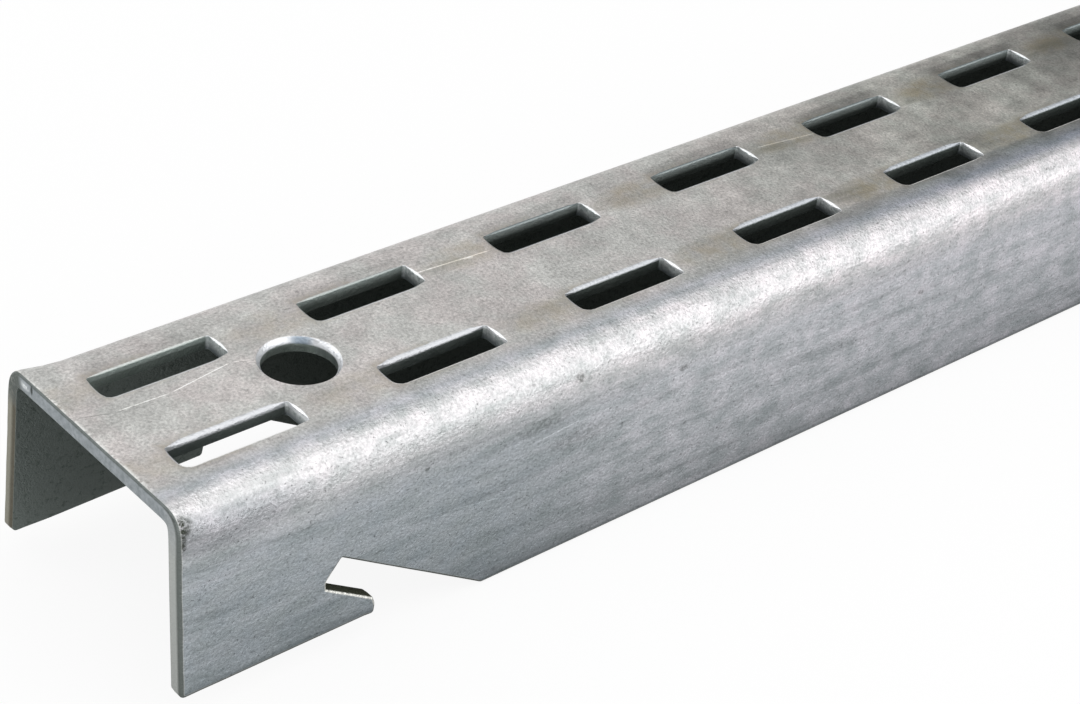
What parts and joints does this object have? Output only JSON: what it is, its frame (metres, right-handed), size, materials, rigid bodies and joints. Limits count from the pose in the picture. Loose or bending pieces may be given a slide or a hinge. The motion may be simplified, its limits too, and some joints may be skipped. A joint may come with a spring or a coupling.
{
  "type": "wall shelf standard",
  "caption": "Straight U-shaped steel wall standard with two rows of bracket slots, screw holes on its middle line, and hooks at one end for a hang rail.",
  "frame": {"origin": "middle of the footprint, in the plane of the two back edges that meet the wall", "axes": "+X runs along the standard from its hooked end to its plain end, +Z points out of the web, away from the wall, and Y runs across it"},
  "size_m": [0.6096, 0.0324, 0.0237],
  "materials": {
    "galvanised_steel": "mill-galvanised strip, unpainted, satin with dull mottling"
  },
  "bodies": {
    "root": {"slotted_channel": "galvanised_steel"}
  },
  "joints": []
}
